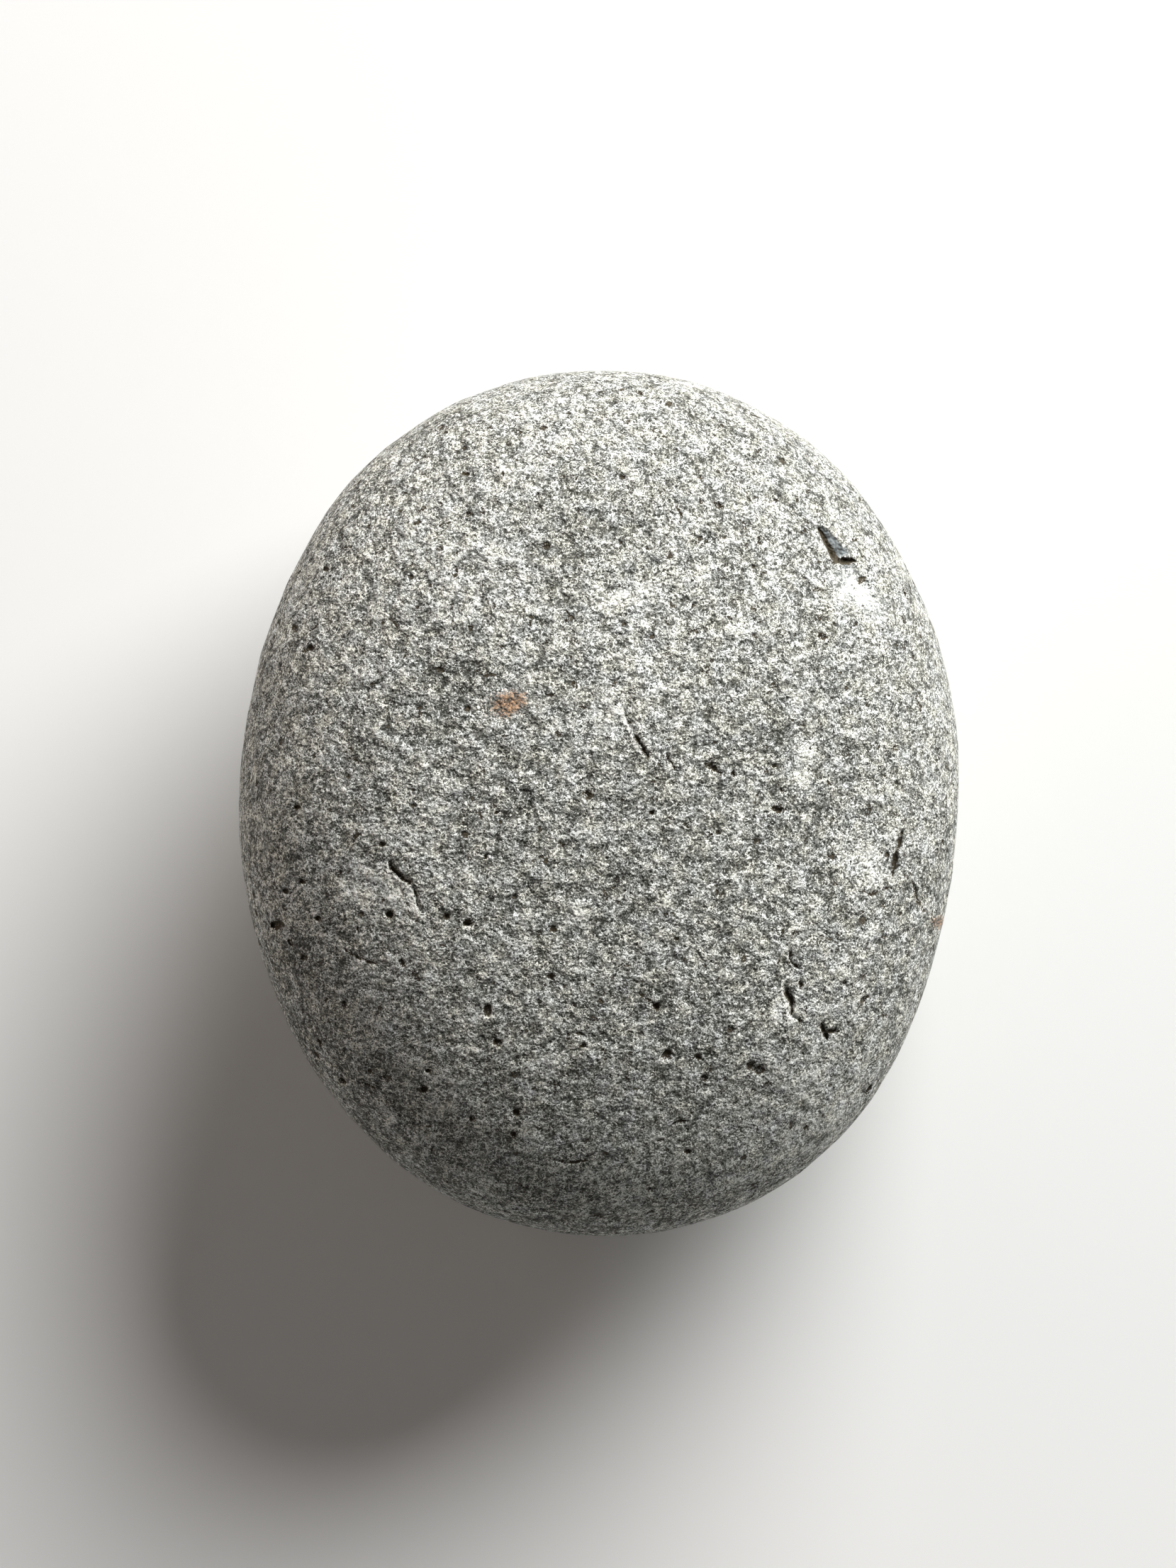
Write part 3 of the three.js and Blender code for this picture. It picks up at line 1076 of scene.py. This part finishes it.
@dataclass(frozen=True)
class Placed:
    """A mark, the flat sheet that its places are drawn on, and how far from the sheet's origin it counts."""

    mark: Mark
    origin: Array
    across: Array
    along: Array
    span: float

    def plan(self, points: Array) -> Array:
        """Points of the skin as they fall square onto the sheet."""
        return (points - self.origin) @ np.column_stack([self.across, self.along])

    def inward(self) -> Array:
        """The way into the stone: square to the sheet."""
        return -np.cross(self.across, self.along)

    def near(self, points: Array, normals: Array) -> Array:
        """Which points the mark can reach: close by on the sheet, and facing it.

        Args:
            points: Points of the skin.
            normals: Where each faces.

        Returns:
            True or false for each point.
        """
        faces_it = normals @ -self.inward() > LEAST_FACING
        close = np.linalg.norm(points - self.origin, axis=1) < self.span
        return faces_it & close & self.mark.near(self.plan(points))


@dataclass(frozen=True)
class Knocks:
    """Small pits and knock marks, scattered over the whole skin. Sizes are in millimetres.

    A pit's depth is a share of its width, and slim is its width as a share of its length. A crescent
    sweeps the first of its two angles and a share of the second, in degrees.
    """

    count: int = 150
    seed: int = 11
    size: Place = (0.25, 0.65)
    slim: Place = (0.45, 0.9)
    crescent_share: float = 0.3
    crescent_width: float = 0.14
    crescent_sweep: Place = (60.0, 60.0)
    depth: float = 0.38
    # How dark each knock's pit is painted: grime, and painted shade in the hollow.
    grime_and_shade: float = 0.9
    span: float = 2.0

    def scatter(self, points: Array, normals: Array) -> list[Placed]:
        """Picks points of the skin at random and lays a mark's sheet flat on the skin at each.

        Args:
            points: The smooth skin's points.
            normals: Where each faces.

        Returns:
            The marks.
        """
        placed = []
        rng = np.random.default_rng(self.seed)
        for spot in rng.choice(len(points), self.count, replace=False):
            out = normals[spot]
            across = np.cross(out, np.roll(out, 1) + SKEW)
            across /= np.linalg.norm(across)
            size, slim, turn = rng.uniform(*self.size), rng.uniform(*self.slim), rng.uniform(0, 180)
            if rng.random() < self.crescent_share:
                least, more = self.crescent_sweep
                mark = crescent(0.0, 0.0, size, 2 * turn, least + more * slim, self.crescent_width)
            else:
                mark = Pit(0.0, 0.0, size, size * slim, self.depth * size * slim, turn, grime_and_shade=self.grime_and_shade)
            placed.append(Placed(mark, points[spot], across, np.cross(out, across), self.span))
        return placed


@dataclass
class Pebble:
    """The pebble: its smooth form, its wear and its stone. Sizes are in millimetres.

    A ripple is the size of its lumps and its height. Each part of the fray is the size of its lumps,
    its weight and its seed.
    """

    form: PebbleForm = field(default_factory=PebbleForm)
    stone: RiverWornStone = field(default_factory=RiverWornStone)
    grid: CubeGrid = field(default_factory=lambda: CubeGrid(cells=82, fine_cuts=3))
    marks: tuple[Mark, ...] = TOP_MARKS
    knocks: Knocks = field(default_factory=Knocks)
    ripples: tuple[Place, ...] = ((3.4, 0.05), (1.6, 0.035), (0.8, 0.022), (0.45, 0.008))
    fray: tuple[tuple[float, float, int], ...] = ((0.35, 0.6, 5), (0.14, 0.4, 6))
    rest_softness: float = 0.03

    def shape(self, cube: Array) -> Array:
        """The smooth skin's points for places on the cube."""
        half = np.array([self.form.width / 2, self.form.length / 2, self.form.face_rise])
        return self.form.skin(bow(cube, half))

    def placed_marks(self, points: Array, normals: Array) -> list[Placed]:
        """Puts the named marks on the top, and scatters knocks over the whole skin.

        Args:
            points: The smooth skin's points.
            normals: Where each faces.

        Returns:
            All the marks: the named ones on one level sheet, and each knock on a sheet of its own.
        """
        level = (np.zeros(3), np.array([1.0, 0.0, 0.0]), np.array([0.0, 1.0, 0.0]), self.form.length)
        return [Placed(mark, *level) for mark in self.marks] + self.knocks.scatter(points, normals)

    def worn(self, points: Array, normals: Array, placed: Sequence[Placed]) -> Wear:
        """Presses every mark into the skin.

        Args:
            points: The smooth skin's points.
            normals: Where each faces.
            placed: The marks.

        Returns:
            What they do at each point.
        """
        wear = Wear(len(points))
        ragged = sum(weight * lattice_noise(points, cell, seed) for cell, weight, seed in self.fray)
        for item in placed:
            where = np.flatnonzero(item.near(points, normals))
            item.mark.press(item.plan(points[where]), ragged[where], wear, where)
            if not isinstance(item.mark, Patch):
                wear.inward[where] = item.inward()
        return wear

    def settled(self, points: Array, low: Array, high: Array) -> Array:
        """Wears the rest spot flat and sets the pebble into the CAD solid's box.

        Below the rest level the height eases to it: rest + k ln(1 + exp((z - rest) / k)).

        Args:
            points: The skin's points, with the middle of the widest outline at the origin.
            low: The box's lowest corner, in metres.
            high: The box's highest corner, in metres.

        Returns:
            The points in metres.
        """
        rest = self.form.rest_cut - self.form.belly_drop
        rise = (points[:, 2] - rest) / self.rest_softness
        eased = points.copy()
        eased[:, 2] = rest + self.rest_softness * np.logaddexp(0.0, rise)
        share = (eased - eased.min(axis=0)) / np.ptp(eased, axis=0)
        return low + share * (high - low)

    def build(self) -> bpy.types.Object:
        """Makes the pebble: smooth skin, fine ripples, marks, rest spot and stone.

        Every point goes out along its normal by the ripples, which are noise of several sizes, and in
        by the depth of the marks there.

        Returns:
            The pebble, with its place in its mesh.
        """
        mesh = self.grid.build()
        cube = read_points(mesh)
        points = self.shape(cube)
        normals = facing(mesh, points)
        placed = self.placed_marks(points, normals)
        near = np.zeros(len(points), dtype=bool)
        for item in placed:
            if not isinstance(item.mark, Patch):
                near |= item.near(points, normals)
        move_points(mesh, cube)
        self.grid.refine(mesh, near)
        points = self.shape(read_points(mesh))
        normals = facing(mesh, points)
        wear = self.worn(points, normals, placed)
        ripple = sum(height * lattice_noise(points, cell, seed)
                     for seed, (cell, height) in enumerate(self.ripples))
        points = points + normals * ripple[:, None] + wear.inward * wear.layers[Layer.CUT][:, None]
        low, high = (np.array(corner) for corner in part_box(STONE_NODE))
        move_points(mesh, self.settled(points, low, high))
        for layer, values in wear.layers.items():
            mesh.attributes.new(layer.value, "FLOAT", "POINT").data.foreach_set("value", values)
        mesh.polygons.foreach_set("use_smooth", np.ones(len(mesh.polygons), dtype=bool))
        mesh.materials.append(self.stone.material())
        piece = bpy.data.objects.new("worn_pebble", mesh)
        bpy.context.scene.collection.objects.link(piece)
        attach(piece, "root")
        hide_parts(STONE_NODE)
        return piece


# ---------------------------------------------------------------- the studio


@dataclass(frozen=True)
class SoftLamp:
    """A round soft lamp that faces the pebble. Its place is counted from the pebble's middle, in metres."""

    name: str
    place: tuple[float, float, float]
    size: float
    watts: float
    colour: str

    def hang(self, middle: Vector) -> None:
        """Hangs the lamp.

        Args:
            middle: The pebble's middle.
        """
        light = bpy.data.lights.new(self.name, "AREA")
        light.shape, light.size, light.energy = "DISK", self.size, self.watts
        light.color = linear(self.colour)[:3]
        item = bpy.data.objects.new(self.name, light)
        item.location = middle + Vector(self.place)
        item.rotation_euler = (-Vector(self.place)).to_track_quat("-Z", "Y").to_euler()
        bpy.context.scene.collection.objects.link(item)


@dataclass(frozen=True)
class Studio:
    """A sheet of white paper, soft lamps and a camera that looks straight down. Sizes are in metres.

    The pebble's length takes its share of the picture's height, and the camera stands off its middle
    by the offset, as shares of that length.
    """

    paper: MattPaper = field(default_factory=MattPaper)
    paper_half: float = 1.5
    lamps: tuple[SoftLamp, ...] = (SoftLamp("key", (0.221, 0.354, 0.194), 0.42, 5.1, "#ffffff"),
                                   SoftLamp("fill", (-0.335, 0.193, 0.104), 0.30, 0.35, "#ffe9de"))
    camera_height: float = 1.2
    clip_start: float = 0.01
    pebble_share: float = 0.552
    offset: Place = (-0.0131, 0.0225)
    sensor: float = 36.0
    sky: str = "#f2f0ee"
    sky_strength: float = 0.105

    def lay_paper(self) -> bpy.types.Object:
        """Lays the paper level with the ground: one square, far wider than the view.

        Returns:
            The paper, which counts as the stage and not as a piece.
        """
        half = self.paper_half
        corners = [(-half, -half, 0.0), (half, -half, 0.0), (half, half, 0.0), (-half, half, 0.0)]
        mesh = bpy.data.meshes.new("paper")
        mesh.from_pydata(corners, [], [(0, 1, 2, 3)])
        mesh.materials.append(self.paper.material())
        floor = bpy.data.objects.new("paper", mesh)
        bpy.context.scene.collection.objects.link(floor)
        return floor

    def light_room(self, middle: Vector) -> None:
        """Hangs the lamps and gives the room a dim, even light.

        Args:
            middle: The pebble's middle.
        """
        for lamp in self.lamps:
            lamp.hang(middle)
        world = bpy.data.worlds.new("room")
        world.use_nodes = True
        room = world.node_tree.nodes["Background"]
        room.inputs["Color"].default_value = linear(self.sky)
        room.inputs["Strength"].default_value = self.sky_strength
        bpy.context.scene.world = world

    def set_camera(self, low: Vector, high: Vector) -> None:
        """Sets the camera over the pebble, so that its length takes its share of the picture's height.

        Args:
            low: The pebble's lowest corner.
            high: The pebble's highest corner.
        """
        middle = (low + high) / 2
        length = high.y - low.y
        camera = bpy.data.cameras.new("camera")
        camera.sensor_width = self.sensor
        camera.clip_start = self.clip_start
        camera.lens = self.sensor * (self.camera_height - middle.z) / (length / self.pebble_share)
        item = bpy.data.objects.new("camera", camera)
        item.location = (middle.x + self.offset[0] * length, middle.y + self.offset[1] * length,
                         self.camera_height)
        bpy.context.scene.collection.objects.link(item)
        bpy.context.scene.camera = item

    def build(self, low: Vector, high: Vector) -> None:
        """Sets the studio up around a box.

        Args:
            low: The pebble's lowest corner.
            high: The pebble's highest corner.
        """
        self.lay_paper()
        self.light_room((low + high) / 2)
        self.set_camera(low, high)
        bpy.context.scene.view_settings.view_transform = "Standard"


def main() -> None:
    """Builds the pebble and its studio."""
    logging.basicConfig(level=logging.INFO, format="%(message)s")
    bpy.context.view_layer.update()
    piece = Pebble().build()
    LOG.info("%s: %d vertices, %d faces", piece.name, len(piece.data.vertices), len(piece.data.polygons))
    low, high = (Vector(corner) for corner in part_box(STONE_NODE))
    studio = Studio()
    studio.build(low, high)
    LOG.info("studio: paper, %d lamps and camera", len(studio.lamps))


if __name__ == "__main__":
    main()
